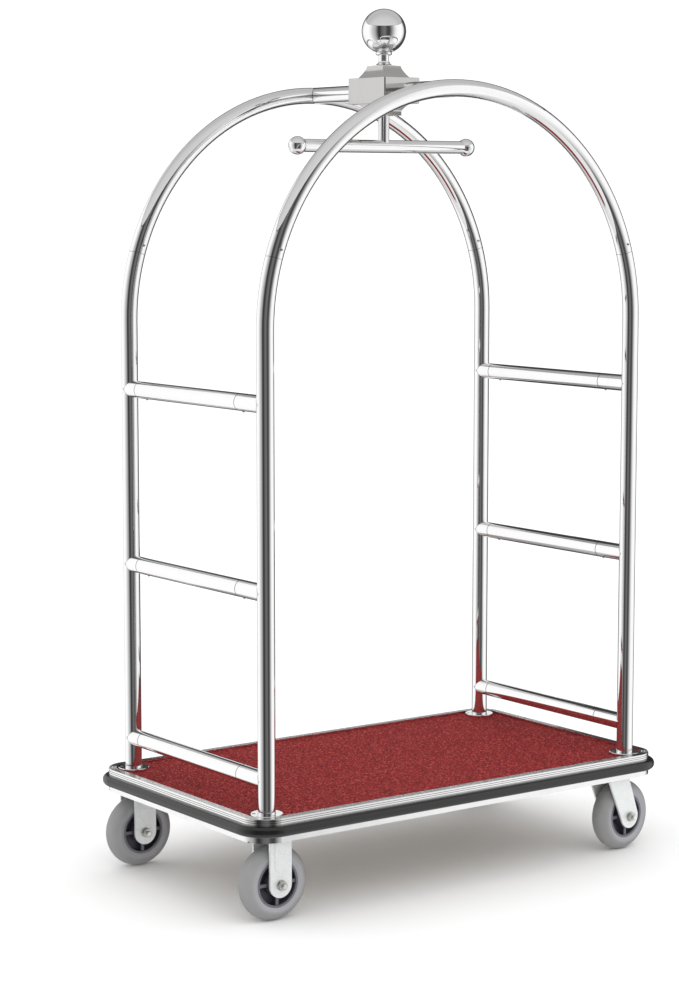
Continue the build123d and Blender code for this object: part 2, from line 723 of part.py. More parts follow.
with BuildPart() as swivel_base:
    with BuildSketch(Plane.XY.offset(plate_bottom)):
        RectangleRounded(plate_length, plate_width, plate_corner)
        Circle(kingpin_radius, mode=Mode.SUBTRACT)
        with GridLocations(plate_bolt_x, plate_bolt_y, 2, 2):
            Circle(plate_bolt_radius + plate_hole_clearance, mode=Mode.SUBTRACT)
    extrude(amount=plate_thickness)
    with BuildSketch(Plane.XY.offset(raceway_bottom)):
        Circle(raceway_radius)
        Circle(kingpin_radius, mode=Mode.SUBTRACT)
    extrude(amount=raceway_height)

trail_axle = (swivel_trail, wheel_radius)
web_length = fork_top_back + fork_top_front
web_middle = (fork_top_front - fork_top_back) / 2
with BuildPart() as swivel_fork:
    with BuildSketch(Plane.XZ.offset(leg_inside)):
        with Locations(trail_axle):
            Circle(fork_leg_width / 2)
        with Locations((web_middle, web_top - fork_web / 2)):
            Rectangle(web_length, fork_web)
        make_hull()
        with Locations(trail_axle):
            Circle(axle_hole, mode=Mode.SUBTRACT)
    extrude(amount=fork_wall)
    fillet(swivel_fork.faces().sort_by(Axis.Y)[0].outer_wire().edges(), leg_edge)
    mirror(about=Plane.XZ)
    with BuildSketch(Plane.XY.offset(web_top - fork_web)):
        with Locations((web_middle, 0)):
            Rectangle(web_length, 2 * leg_inside)
    extrude(amount=fork_web)
    with BuildSketch(Plane.XY.offset(web_top)):
        Circle(crown_disc_radius)
    extrude(amount=crown_disc_height)
    with BuildSketch(Plane.XY.offset(web_top - fork_web)):
        Circle(kingpin_radius + running_clearance)
    extrude(amount=fork_web + crown_disc_height, mode=Mode.SUBTRACT)

kingpin_seat = web_top - fork_web - swivel_gap
with BuildPart() as kingpins:
    with BuildSketch(Plane.XY.offset(kingpin_seat)):
        with Locations((swivel_caster_x, -caster_y), (swivel_caster_x, caster_y)):
            Circle(kingpin_radius)
    extrude(amount=caster_height - kingpin_seat)
    with BuildSketch(Plane.XY.offset(kingpin_seat)):
        with Locations((swivel_caster_x, -caster_y), (swivel_caster_x, caster_y)):
            Circle(kingpin_head_radius)
    extrude(amount=-kingpin_head_height)
write(kingpins.part, "kingpins")

for side, sy in sides.items():
    rigid_spot = Location((rigid_caster_x, sy * caster_y, 0))
    plate_spot = Location((swivel_caster_x, sy * caster_y, 0))
    turned_spot = Location((swivel_caster_x, sy * caster_y, 0), (0, 0, swivel_turn))
    wheel_spot = turned_spot * Location((swivel_trail, 0, 0))
    write(rigid_spot * rigid_fork.part, f"rigid_fork_{side}")
    write(plate_spot * swivel_base.part, f"swivel_base_{side}")
    write(turned_spot * swivel_fork.part, f"swivel_fork_{side}")
    for end, spot in (("left", rigid_spot), ("right", wheel_spot)):
        write(spot * tyre.part, f"tyre_{side}_{end}")
        write(spot * hub.part, f"hub_{side}_{end}")
        pieces = [spot * piece.part for piece in (axle_set, axle_sleeve, axle_nut)]
        write(Compound(children=pieces), f"axle_{side}_{end}")

with BuildPart() as plate_bolts:
    with BuildSketch(Plane.XY.offset(plate_bottom)):
        with Locations(*caster_centres):
            with GridLocations(plate_bolt_x, plate_bolt_y, 2, 2):
                RegularPolygon(plate_bolt_head_radius, 6)
    extrude(amount=-plate_bolt_head_height)
    with BuildSketch(Plane.XY.offset(plate_bottom)):
        with Locations(*caster_centres):
            with GridLocations(plate_bolt_x, plate_bolt_y, 2, 2):
                Circle(plate_bolt_radius)
    extrude(amount=plate_thickness + plate_bolt_depth)
write(plate_bolts.part, "plate_bolts")
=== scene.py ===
import math
import bmesh
import bpy
import numpy as np
from mathutils import Matrix, Vector


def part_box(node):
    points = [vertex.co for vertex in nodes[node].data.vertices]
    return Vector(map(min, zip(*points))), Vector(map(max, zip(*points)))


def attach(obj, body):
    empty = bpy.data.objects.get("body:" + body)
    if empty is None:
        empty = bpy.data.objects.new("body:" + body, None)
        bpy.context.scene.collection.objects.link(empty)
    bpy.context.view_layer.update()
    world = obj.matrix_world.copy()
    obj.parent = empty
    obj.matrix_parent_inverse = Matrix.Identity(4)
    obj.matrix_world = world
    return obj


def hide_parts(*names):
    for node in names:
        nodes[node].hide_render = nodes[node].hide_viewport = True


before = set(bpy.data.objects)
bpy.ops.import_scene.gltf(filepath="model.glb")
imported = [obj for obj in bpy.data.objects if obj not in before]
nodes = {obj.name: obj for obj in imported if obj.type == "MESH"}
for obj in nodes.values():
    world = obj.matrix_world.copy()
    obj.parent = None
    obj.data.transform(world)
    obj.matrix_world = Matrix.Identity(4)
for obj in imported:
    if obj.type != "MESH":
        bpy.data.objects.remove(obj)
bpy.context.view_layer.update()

# ---- camera, floor and studio light ----
view_turn = -0.62665   # the way the camera faces, about Z, and the way the tent's open side lies
view_dip = 0.11959
camera_data = bpy.data.cameras.new("camera")
camera = bpy.data.objects.new("camera", camera_data)
bpy.context.scene.collection.objects.link(camera)
camera.location = (-3.25642, -4.33597, 1.45976)
camera.rotation_euler = (math.radians(90) - view_dip, 0.0, view_turn)
camera_data.sensor_width = 36.0
camera_data.lens = 2499.07 / 990 * 36.0
bpy.context.scene.camera = camera
bpy.context.scene.view_settings.view_transform = "Standard"


class Field:
    """A shader value, so that maths on it reads as plain Python."""

    def __init__(self, finish, socket):
        self.finish = finish
        self.socket = socket

    def _maths(self, operation, *values):
        return self.finish.add("ShaderNodeMath", {"operation": operation}, *values)

    def __add__(self, other):
        return self._maths("ADD", self, other)

    def __sub__(self, other):
        return self._maths("SUBTRACT", self, other)

    def __rsub__(self, other):
        return self._maths("SUBTRACT", other, self)

    def __mul__(self, other):
        return self._maths("MULTIPLY", self, other)

    def __truediv__(self, other):
        return self._maths("DIVIDE", self, other)

    def __rtruediv__(self, other):
        return self._maths("DIVIDE", other, self)

    def __pow__(self, other):
        return self._maths("POWER", self, other)

    def __lt__(self, other):
        return self._maths("LESS_THAN", self, other)

    def __gt__(self, other):
        return self._maths("GREATER_THAN", self, other)

    __radd__ = __add__
    __rmul__ = __mul__

    def abs(self):
        return self._maths("ABSOLUTE", self)

    def sqrt(self):
        return self._maths("SQRT", self)

    def sin(self):
        return self._maths("SINE", self)

    def at_least(self, other):
        return self._maths("MAXIMUM", self, other)

    def at_most(self, other):
        return self._maths("MINIMUM", self, other)

    def ramp(self, *stops):
        """A colour from stops of (place, colour), with a number standing for a grey."""
        return self.finish.add("ShaderNodeValToRGB", {"stops": stops}, self)


class Finish:
    """A material, with its nodes added one at a time."""

    def __init__(self, name, **constants):
        self.material = bpy.data.materials.new(name)
        self.material.use_nodes = True
        self.tree = self.material.node_tree
        self.shader = self.tree.nodes["Principled BSDF"]
        for key, value in constants.items():
            socket = self.shader.inputs[key.replace("_", " ")]
            socket.default_value = (*value, 1.0) if isinstance(value, tuple) else value

    def add(self, kind, settings=None, *values, output=0, **named):
        node = self.tree.nodes.new(kind)
        for key, value in (settings or {}).items():
            if key == "stops":
                while len(node.color_ramp.elements) < len(value):
                    node.color_ramp.elements.new(0.5)
                for element, (place, colour) in zip(node.color_ramp.elements, value):
                    shade = colour if isinstance(colour, tuple) else (colour,) * 3
                    element.position = place
                    element.color = (*shade, 1.0)
            else:
                setattr(node, key, value)
        pairs = list(enumerate(values)) + [(key.replace("_", " "), value) for key, value in named.items()]
        for key, value in pairs:
            self.feed(node.inputs[key], value)
        return Field(self, node.outputs[output])

    def feed(self, socket, value):
        if isinstance(value, Field):
            self.tree.links.new(value.socket, socket)
        elif isinstance(value, tuple) and len(value) == 3 and socket.type == "RGBA":
            socket.default_value = (*value, 1.0)
        else:
            socket.default_value = value

    def place(self, centre=(0, 0, 0), turn=0.0, scale=(1, 1, 1)):
        """The surface's own place, in metres, measured from a centre and turned about Z."""
        coordinates = self.add("ShaderNodeTexCoord", output="Object")
        moved = self.add("ShaderNodeVectorMath", {"operation": "SUBTRACT"}, coordinates, centre)
        turned = self.add("ShaderNodeMapping", None, moved, Rotation=(0, 0, -turn), Scale=scale)
        return turned

    def split(self, vector):
        node = self.tree.nodes.new("ShaderNodeSeparateXYZ")
        self.feed(node.inputs[0], vector)
        return [Field(self, node.outputs[i]) for i in range(3)]

    def noise(self, vector, scale, detail=2.0, roughness=0.5):
        return self.add(
            "ShaderNodeTexNoise", None, Vector=vector, Scale=scale, Detail=detail, Roughness=roughness
        )

    def mix(self, factor, a, b):
        """Colours a and b, mixed."""
        node = self.tree.nodes.new("ShaderNodeMix")
        node.data_type = "RGBA"
        self.feed(node.inputs[0], factor)
        self.feed(node.inputs[6], a)
        self.feed(node.inputs[7], b)
        return Field(self, node.outputs[2])

    def bump(self, height, depth, strength=1.0):
        """A normal from a height, where depth is the height's size in metres."""
        return self.add("ShaderNodeBump", None, Strength=strength, Distance=depth, Height=height)

    def wear(self, **links):
        for key, value in links.items():
            self.feed(self.shader.inputs[key.replace("_", " ")], value)
        return self.material


def mesh_object(name, verts, faces, material):
    mesh = bpy.data.meshes.new(name)
    mesh.from_pydata([tuple(v) for v in verts], [], [tuple(f) for f in faces])
    mesh.update()
    obj = bpy.data.objects.new(name, mesh)
    bpy.context.scene.collection.objects.link(obj)
    mesh.materials.append(material)
    mesh.polygons.foreach_set("use_smooth", [True] * len(mesh.polygons))
    return obj


def plain_finish(name, colour, roughness):
    """A stage surface's paint, mottled a little as real paper is."""
    paint = Finish(name, Roughness=roughness)
    grain = paint.noise(paint.place(), 1.5)
    tone = paint.mix(grain, colour, tuple(c * 0.99 for c in colour))
    return paint.wear(Base_Color=tone)


floor = mesh_object(
    "studio_floor", [(-40, -40, 0), (40, -40, 0), (40, 40, 0), (-40, 40, 0)], [(0, 1, 2, 3)],
    plain_finish("floor_paper", (0.93, 0.93, 0.93), 0.9),
)

# A white tent that only polished surfaces see: light walls, a dark open side, and a roof and a base that
# darken away from the open side, so that every polished edge ends in a dark line.
tent_radius = 3.0
tent_top, tent_bottom = 3.2, -1.3
tent_steps = 96
turns = np.linspace(0, math.tau, tent_steps, False)
spots = [(tent_radius * math.cos(a), tent_radius * math.sin(a)) for a in turns]
tent_verts = [(x, y, z) for z in (tent_bottom, tent_top) for x, y in spots]
sides = [
    (i, i + tent_steps, (i + 1) % tent_steps + tent_steps, (i + 1) % tent_steps) for i in range(tent_steps)
]
# the wall's light, by the angle from its open side: (degrees, brightness)
wall_light = [
    (-180, 0.04), (-160, 0.05), (-149, 0.45), (-132, 1.05), (-105, 1.12), (-85, 1.10), (-72, 0.86),
    (-60, 0.62), (-46, 0.42), (-38, 0.19), (-31, 0.04), (-22, 0.035), (-10, 0.13), (6, 0.17),
    (15, 0.07), (28, 0.05), (35, 0.16), (44, 0.36), (56, 0.74), (70, 1.04), (90, 1.12), (108, 1.08),
    (121, 0.70), (131, 0.07), (180, 0.04),
]
# the roof's and the base's light, by the distance away from the open side: (metres, brightness)
roof_light = [(-3.0, 0.74), (-0.6, 0.66), (0.3, 0.54), (1.3, 0.56), (2.0, 0.40), (2.6, 0.16), (3.0, 0.04)]
base_light = [(-3.0, 0.95), (-0.6, 0.85), (0.8, 0.74), (1.6, 0.52), (2.3, 0.22), (2.8, 0.05), (3.0, 0.04)]


def tent_cloth(name, brightness):
    """Black cloth that glows; brightness makes its colour from the place across, along and up."""
    cloth = Finish(name, Base_Color=(0, 0, 0), Roughness=1.0)
    glow = brightness(*cloth.split(cloth.place(turn=view_turn - math.radians(90))))
    return cloth.wear(Emission_Color=glow, Emission_Strength=1.0)


def greys(stops, least, most):
    return [((place - least) / (most - least), (value, value, value)) for place, value in stops]


def wall_glow(across, along, up):
    angle = across.finish.add("ShaderNodeMath", {"operation": "ARCTAN2"}, along, across) / math.tau + 0.5
    hem = up > tent_top - 0.05
    far_panel = ((angle - 0.5).abs() > 0.462) * (up > 0.25) * (up < 1.15)
    hemmed = across.finish.mix(hem * 0.75, angle.ramp(*greys(wall_light, -180, 180)), (0.0, 0.0, 0.0))
    return across.finish.mix(far_panel, hemmed, (0.92, 0.92, 0.92))


def span_glow(stops):
    return lambda across, along, up: (0.5 - across / (2 * tent_radius)).ramp(*greys(stops, -3.0, 3.0))


for name, verts, faces, brightness in (
    ("tent_wall", tent_verts, sides, wall_glow),
    ("tent_roof", tent_verts[tent_steps:], [tuple(range(tent_steps))], span_glow(roof_light)),
    ("tent_base", tent_verts[:tent_steps], [tuple(range(tent_steps))], span_glow(base_light)),
):
    screen = mesh_object(name, verts, faces, tent_cloth(name, brightness))
    screen.visible_camera = False
    screen.visible_diffuse = False
    screen.visible_shadow = False
floor.visible_glossy = False

world = bpy.data.worlds.new("studio_world")
bpy.context.scene.world = world
world.use_nodes = True
sky = world.node_tree.nodes["Background"]
sky.inputs["Color"].default_value = (1.0, 1.0, 1.0, 1.0)
sky.inputs["Strength"].default_value = 1.12

sun = bpy.data.lights.new("broad_light", "SUN")
sun.energy = 0.55
sun.angle = math.radians(70)
lamp = bpy.data.objects.new("broad_light", sun)
bpy.context.scene.collection.objects.link(lamp)
lamp.rotation_euler = Vector((1.2, 2.0, -3.5)).to_track_quat("-Z", "Y").to_euler()
lamp.visible_glossy = False


# ---- where the pieces are ----
rim_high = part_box("deck_trim")[1]
rim_x, rim_y, rim_top = rim_high
corner = 0.057         # radius of the platform's corners
carpet_low, carpet_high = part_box("deck_carpet")
flange_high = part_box("post_flanges")[1]
flange_radius = 0.0335
flange_screw_reach = 0.0265   # flange screws from the middle of their post
tube_radius = 0.018
post_x = flange_high.x - flange_radius
post_y = flange_high.y - flange_radius
arch_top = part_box("arch_front")[1].z - tube_radius
spring = arch_top - post_x
carpet_hole_radius = 0.0215   # around each post, under its flange
joint_gap = 0.0008     # between a rung and its stubs
front_screw_offset, rear_screw_offset = 0.008, 0.024   # set screws from their joints
screw_stand = 0.0022   # set screws out of their tube
screw_angle = math.radians(17 + 2.2)   # set screws of the arches, up the bend
swivel_turn = math.radians(6)
rungs = [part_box("rung_left_" + name) for name in ("middle", "upper")]
rung_ends = (rungs[0][0].y - joint_gap, rungs[0][1].y + joint_gap)
wheels = {}
for node in nodes:
    if node.startswith("tyre_"):
        a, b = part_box(node)
        wheels[node[5:]] = ((a + b) / 2, swivel_turn if node.endswith("right") else 0.0)


def rim_distance(finish, place):
    """Metres in from the platform's outline, a rectangle with round corners, and the height."""
    x, y, z = finish.split(place)
    beyond_x = (x.abs() - (rim_x - corner)).at_least(0.0)
    beyond_y = (y.abs() - (rim_y - corner)).at_least(0.0)
    straight = (x.abs() - (rim_x - corner)).at_least(y.abs() - (rim_y - corner)).at_most(0.0)
    return corner - ((beyond_x ** 2 + beyond_y ** 2).sqrt() + straight), z


# ---- finishes ----
def line_at(field, place, half_width):
    """One on a line where a field has a value, fading to nothing at its half width."""
    return 1 - ((field - place).abs() / half_width).at_most(1.0)


def rung_joints(finish):
    """The dark joints of a rung with its stubs, and the seam where it meets its post."""
    x, y = finish.split(finish.place())[:2]
    from_post = ((x.abs() - post_x) ** 2 + (y.abs() - post_y) ** 2).sqrt()
    front_end = line_at(y, rung_ends[0] + joint_gap / 2, 0.0016)
    rear_end = line_at(y, rung_ends[1] - joint_gap / 2, 0.0016)
    return front_end.at_least(rear_end).at_least(line_at(from_post, tube_radius, 0.0012) * 0.6)


def stub_seam(finish):
    """The seam where a crown stub meets its arch."""
    y, z = finish.split(finish.place())[1:]
    from_arch = ((y.abs() - post_y) ** 2 + (z - arch_top) ** 2).sqrt()
    return line_at(from_arch, tube_radius, 0.0022)


def chrome(name, colour, roughness, smear, seams=None):
    """Polished chrome with faint wiping marks, the slight waviness of drawn tube, and dark seams."""
    finish = Finish(name, Metallic=1.0)
    place = finish.place()
    marks = finish.noise(finish.place(scale=(1.0, 1.0, 0.25)), 60.0, 4.0, 0.6)
    dust = finish.noise(place, 900.0, 1.0)
    waves = finish.noise(place, 22.0, 1.0)
    tone = finish.mix(marks, colour, tuple(c * 0.94 for c in colour))
    rough = marks * smear + dust * (smear * 0.3) + roughness
    if seams:
        seam = seams(finish)
        tone = finish.mix(seam, tone, (0.03, 0.03, 0.03))
        rough = rough + seam * 0.35
    return finish.wear(Base_Color=tone, Roughness=rough, Normal=finish.bump(waves, 0.00004, 0.5))


clean_chrome = (0.91, 0.91, 0.91)
tube_finish = chrome("tube_chrome", clean_chrome, 0.025, 0.03)
rung_finish = chrome("rung_chrome", clean_chrome, 0.025, 0.03, rung_joints)
stub_finish = chrome("stub_chrome", clean_chrome, 0.025, 0.03, stub_seam)
ball_finish = chrome("ball_chrome", clean_chrome, 0.012, 0.02)
crown_finish = chrome("crown_chrome", (0.56, 0.555, 0.545), 0.10, 0.05)


def trim_chrome():
    """Chrome with fine ridges on the rim's lip, painted shade in the grooves around its side, and painted shade
    along two lines of its lip.
    """
    ridge_pitch, groove_pitch, first_groove, groove_half = 0.0034, 0.004, 0.00455, 0.0013
    lip_shade_lines, lip_shade_half = (0.0052, 0.0125), 0.0011
    finish = Finish("trim_chrome", Metallic=1.0)
    place = finish.place()
    inward, z = rim_distance(finish, place)
    on_lip = z > carpet_high.z + 0.0035
    ridges = (inward * (math.tau / ridge_pitch)).sin() * on_lip
    groove_shade = 0.0
    for row in range(3):
        groove_shade = line_at(z, rim_top - first_groove - groove_pitch * row, groove_half) + groove_shade
    # painted shade: dark lines in the side grooves and along two lines of the lip, mixed into the base colour
    shade = groove_shade * (inward < 0.002)
    for lip_shade_line in lip_shade_lines:
        shade = shade.at_least(line_at(inward, lip_shade_line, lip_shade_half) * on_lip)
    shade = shade * 0.85
    scuffs = finish.noise(place, 240.0, 3.0, 0.6)
    marks = finish.noise(place, 35.0, 3.0)
    tone = finish.mix(marks, (0.90, 0.90, 0.895), (0.78, 0.78, 0.78))
    return finish.wear(
        Base_Color=finish.mix(shade, tone, (0.16, 0.16, 0.16)),
        Roughness=scuffs * 0.07 + 0.05,
        Normal=finish.bump(ridges * 0.5 + scuffs * 0.12, 0.0005, 0.8),
    )


def carpet_pile():
    """Dark red cut pile with black, darker and lighter flecks, and a faint drift of tone."""
    finish = Finish("carpet_pile", Roughness=0.95, Sheen_Weight=0.02, Sheen_Roughness=0.5)
    finish.shader.inputs["Specular IOR Level"].default_value = 0.1
    finish.shader.inputs["Sheen Tint"].default_value = (0.9, 0.45, 0.45, 1.0)
    place = finish.place()
    fine = finish.noise(place, 420.0, 2.0, 0.7)
    finer = finish.noise(place, 900.0, 1.0, 0.6)
    drift = finish.noise(place, 9.0, 3.0, 0.5)
    cells = finish.add("ShaderNodeTexVoronoi", {"feature": "F1"}, Vector=place, Scale=400.0, output="Color")
    speck, other = finish.split(cells)[:2]
    ground = finish.mix(drift, (0.300, 0.0185, 0.0205), (0.360, 0.0225, 0.025))
    shaded = finish.mix(fine.ramp((0.36, 0.0), (0.58, 1.0)), (0.070, 0.0055, 0.007), ground)
    flecked = finish.mix((speck > 0.84) * 0.85, shaded, (0.016, 0.009, 0.010))
    lit = finish.mix((other > 0.86) * 0.6, flecked, (0.62, 0.12, 0.10))
    return finish.wear(Base_Color=lit, Normal=finish.bump(fine + finer * 0.6, 0.0016, 0.9))


def bumper_rubber():
    finish = Finish("bumper_rubber")
    finish.shader.inputs["Specular IOR Level"].default_value = 0.6
    place = finish.place()
    bloom = finish.noise(place, 14.0, 4.0, 0.6)
    pores = finish.noise(place, 700.0, 2.0)
    tone = finish.mix(bloom, (0.0045, 0.0045, 0.0045), (0.011, 0.0105, 0.010))
    return finish.wear(
        Base_Color=tone, Roughness=bloom * 0.14 + pores * 0.06 + 0.17, Normal=finish.bump(pores, 0.00012, 0.35)
    )


def wheel_axes(finish, wheel):
    """How far from a wheel's axle, and how far along it."""
    centre, turn = wheels[wheel]
    x, y, z = finish.split(finish.place(tuple(centre), turn))
    return (x ** 2 + z ** 2).sqrt(), y


def tyre_rubber(wheel):
    """Grey rubber, paler on its side walls, with a parting line and a step where each side begins."""
    tread_edge, side_step = 0.0768, 0.0592   # out from the axle
    finish = Finish("tyre_rubber_" + wheel, Metallic=0.0)
    out, along = wheel_axes(finish, wheel)
    place = finish.place()
    dust = finish.noise(place, 30.0, 4.0, 0.65)
    pores = finish.noise(place, 800.0, 2.0)
    tread = finish.mix(dust, (0.235, 0.235, 0.238), (0.295, 0.295, 0.295))
    side = finish.mix(dust, (0.32, 0.32, 0.345), (0.375, 0.37, 0.39))
    wall_part = out.ramp((0.057, 1.0), (0.0635, 0.0))
    clean = finish.mix(wall_part, tread, side)
    scuffed = finish.mix((out > tread_edge) * dust * 0.35, clean, (0.21, 0.21, 0.205))
    parting = line_at(along, 0.0, 0.00045) * (out > 0.07)
    step = line_at(out, side_step, 0.0007)
    height = pores * 0.12 + parting * 0.5 - step
    return finish.wear(
        Base_Color=scuffed, Roughness=dust * 0.15 + 0.5, Normal=finish.bump(height, 0.00035, 0.8)
    )


def hub_plastic(wheel):
    """Dark plastic, with a painted highlight on the edges of its faces."""
    hub_face, hub_rim = 0.0165, 0.0262   # along the axle, and out from it
    finish = Finish("hub_plastic_" + wheel, Metallic=0.0)
    out, along = wheel_axes(finish, wheel)
    place = finish.place()
    flow = finish.noise(place, 60.0, 4.0, 0.6)
    grain = finish.noise(place, 1000.0, 1.0)
    # painted highlight: pale on the outer edges of the faces, mottled by the flow noise
    edge = (along.abs() > hub_face) * (out > hub_rim)
    edge_highlight = edge * (flow * 0.5 + 0.5)
    dark = finish.mix(flow, (0.034, 0.031, 0.043), (0.055, 0.050, 0.066))
    return finish.wear(
        Base_Color=finish.mix(edge_highlight, dark, (0.16, 0.155, 0.18)),
        Roughness=flow * 0.2 + 0.32,
        Normal=finish.bump(grain, 0.0001, 0.4),
    )


def zinc(name, light, shade, roughness, metal=0.55):
    """Bright zinc plate, with a fine spangle and cloudy patches."""
    finish = Finish(name, Metallic=metal)
    place = finish.place()
    clouds = finish.noise(place, 45.0, 4.0, 0.6)
    spangle = finish.add("ShaderNodeTexVoronoi", {"feature": "F1"}, Vector=place, Scale=260.0, output="Color")
    grey = finish.split(spangle)[0]
    tone = finish.mix(clouds * 0.6 + grey * 0.4, light, shade)
    return finish, place, tone, clouds * 0.15 + grey * 0.06 + roughness


def plated_steel(name, light, shade, roughness, metal=0.55):
    finish, place, tone, rough = zinc(name, light, shade, roughness, metal)
    skin = finish.noise(place, 400.0, 2.0)
    return finish.wear(Base_Color=tone, Roughness=rough, Normal=finish.bump(skin, 0.00008, 0.5))


def threaded_steel(wheel):
    """An axle's finish: its bolt has a thread past the nut, and the nut a dull yellow plate."""
    bolt_radius = 0.0052
    finish, place, tone, rough = zinc("axle_steel_" + wheel, (0.66, 0.66, 0.64), (0.46, 0.46, 0.43), 0.22, 0.85)
    out, along = wheel_axes(finish, wheel)
    thread = (along * (math.tau / 0.0015)).sin() * (out > 0.0046) * (out < 0.0053)
    bolt = out < bolt_radius
    bright = finish.mix(bolt, tone, (0.78, 0.78, 0.76))
    return finish.wear(Base_Color=bright, Roughness=rough, Normal=finish.bump(thread, 0.0004, 0.8))


def board_wood():
    finish = Finish("board_wood", Metallic=0.0)
    long_way = finish.place(scale=(3.0, 60.0, 90.0))
    rings = finish.noise(long_way, 1.6, 5.0, 0.6)
    plies = finish.split(finish.place())[2]
    layers = (plies * (math.tau / 0.004)).sin() * 0.5 + 0.5
    tone = finish.mix(rings, (0.33, 0.28, 0.22), (0.46, 0.40, 0.33))
    return finish.wear(
        Base_Color=finish.mix(layers * 0.25, tone, (0.16, 0.10, 0.055)),
        Roughness=rings * 0.25 + 0.5,
        Normal=finish.bump(rings, 0.0003, 0.4),
    )


def rail_paint():
    finish = Finish("rail_paint", Metallic=0.0)
    place = finish.place()
    peel = finish.noise(place, 320.0, 2.0)
    chips = finish.noise(place, 70.0, 5.0, 0.7)
    worn = chips.ramp((0.66, 0.0), (0.70, 1.0))
    return finish.wear(
        Base_Color=finish.mix(worn, (0.03, 0.03, 0.032), (0.11, 0.105, 0.10)),
        Roughness=peel * 0.15 + 0.35,
        Normal=finish.bump(peel, 0.00015, 0.5),
    )


zinc_plate = plated_steel("caster_zinc", (0.84, 0.86, 0.855), (0.70, 0.725, 0.72), 0.28, 0.38)
bolt_plate = plated_steel("bolt_zinc", (0.60, 0.60, 0.56), (0.42, 0.42, 0.38), 0.30, 0.8)
sleeve_steel = plated_steel("sleeve_steel", (0.20, 0.20, 0.20), (0.13, 0.13, 0.13), 0.40, 0.9)
screw_steel = plated_steel("screw_steel", (0.50, 0.50, 0.50), (0.34, 0.34, 0.34), 0.28, 0.95)
dark_screw = plated_steel("dark_screw", (0.075, 0.075, 0.08), (0.04, 0.04, 0.045), 0.35, 0.5)

finishes = {
    "deck_board": board_wood(), "deck_trim": trim_chrome(), "deck_bumper": bumper_rubber(),
    "side_rails": rail_paint(), "cross_rails": rail_paint(), "skirt_screws": dark_screw,
    "arch_sleeves": sleeve_steel, "rung_sleeves": sleeve_steel, "plate_bolts": bolt_plate,
    "kingpins": bolt_plate, "tie_rod": bolt_plate, "bar_end_balls": ball_finish,
}
for node, obj in nodes.items():
    if node in finishes:
        finish = finishes[node]
    elif node.startswith(("crown_b", "crown_c")):
        finish = crown_finish
    elif node.startswith("finial"):
        finish = ball_finish
    elif node.startswith("crown_stub"):
        finish = stub_finish
    elif node.startswith("rung_"):
        finish = rung_finish
    elif node.startswith("tyre_"):
        finish = tyre_rubber(node[5:])
    elif node.startswith("hub_"):
        finish = hub_plastic(node[4:])
    elif node.startswith("axle_"):
        finish = threaded_steel(node[5:])
    elif node.startswith(("rigid_fork", "swivel_")):
        finish = zinc_plate
    else:
        finish = tube_finish
    for held in obj.material_slots:
        held.material = finish


# ---- carpet ----
def carpet_sheet():
    """The carpet as one pile surface, tucked under the rim and the post flanges."""
    step = 0.004
    half_x, half_y = carpet_high.x, carpet_high.y
    xs = np.linspace(-half_x, half_x, int(2 * half_x / step) + 1)
    ys = np.linspace(-half_y, half_y, int(2 * half_y / step) + 1)
    gx, gy = np.meshgrid(xs, ys, indexing="ij")
    # the outline's corners are rounded by sliding the outer points in
    radius = corner - 0.003
    cx, cy = np.sign(gx) * (half_x - radius), np.sign(gy) * (half_y - radius)
    dx, dy = (gx - cx) * np.sign(gx), (gy - cy) * np.sign(gy)
    both = (dx > 0) & (dy > 0)
    far = np.hypot(dx, dy)
    square = np.maximum(dx, dy)
    shrink = np.where(both & (far > 0), square / np.maximum(far, 1e-9), 1.0)
    gx = np.where(both, cx + (gx - cx) * shrink, gx)
    gy = np.where(both, cy + (gy - cy) * shrink, gy)
    chance = np.random.default_rng(7)
    tufts = chance.random(gx.shape)
    drift = np.sin(gx * 9.0 + 1.3) * np.sin(gy * 13.0 + 0.4)
    depth = 0.0002 + 0.0009 * tufts + 0.00015 * (drift + 1)
    rim = np.minimum(half_x - np.abs(gx), half_y - np.abs(gy))
    depth = np.where(rim < 0.012, 0.0003, depth)
    top = carpet_high.z - depth
    verts = [(x, y, z) for x, y, z in zip(gx.ravel(), gy.ravel(), top.ravel())]
    count_y = gx.shape[1]
    faces = []
    for i in range(gx.shape[0] - 1):
        for j in range(count_y - 1):
            a = i * count_y + j
            middle = (gx[i, j] + gx[i + 1, j + 1]) / 2, (gy[i, j] + gy[i + 1, j + 1]) / 2
            if math.hypot(abs(middle[0]) - post_x, abs(middle[1]) - post_y) > carpet_hole_radius:
                faces.append((a, a + count_y, a + count_y + 1, a + 1))
    obj = mesh_object("carpet", verts, faces, carpet_pile())
    thicken = obj.modifiers.new("thickness", "SOLIDIFY")
    thicken.thickness = carpet_high.z - carpet_low.z - 0.0015
    thicken.offset = -1.0
    return obj


carpet = carpet_sheet()
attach(carpet, "cart")
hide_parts("deck_carpet")


# ---- screws with their drives, repeated over their places ----
def drawn_plate(loops, low, high, bevel=0.0):
    """A flat plate between two heights, cut from closed outlines: the first holds the others."""
    curve = bpy.data.curves.new("outline", "CURVE")
    curve.dimensions = "2D"
    curve.fill_mode = "BOTH"
    curve.extrude = (high - low) / 2 - bevel
    curve.bevel_depth = bevel
    curve.bevel_resolution = 1
    curve.offset = -bevel
    for loop in loops:
        spline = curve.splines.new("POLY")
        spline.points.add(len(loop) - 1)
        for point, (x, y) in zip(spline.points, loop):
            point.co = (x, y, 0.0, 1.0)
        spline.use_cyclic_u = True
    holder = bpy.data.objects.new("outline", curve)
    bpy.context.scene.collection.objects.link(holder)
    bpy.context.view_layer.update()
    mesh = bpy.data.meshes.new_from_object(holder)
    bpy.data.objects.remove(holder)
    mesh.transform(Matrix.Translation((0, 0, (low + high) / 2)))
    return mesh


def circle(radius, count=24):
    angles = [math.tau * i / count for i in range(count)]
    return [(radius * math.cos(a), radius * math.sin(a)) for a in angles]


def cross(reach, half):
    corners = [(reach, -half), (reach, half), (half, half), (half, reach), (-half, reach), (-half, half)]
    return corners + [(-x, -y) for x, y in corners]


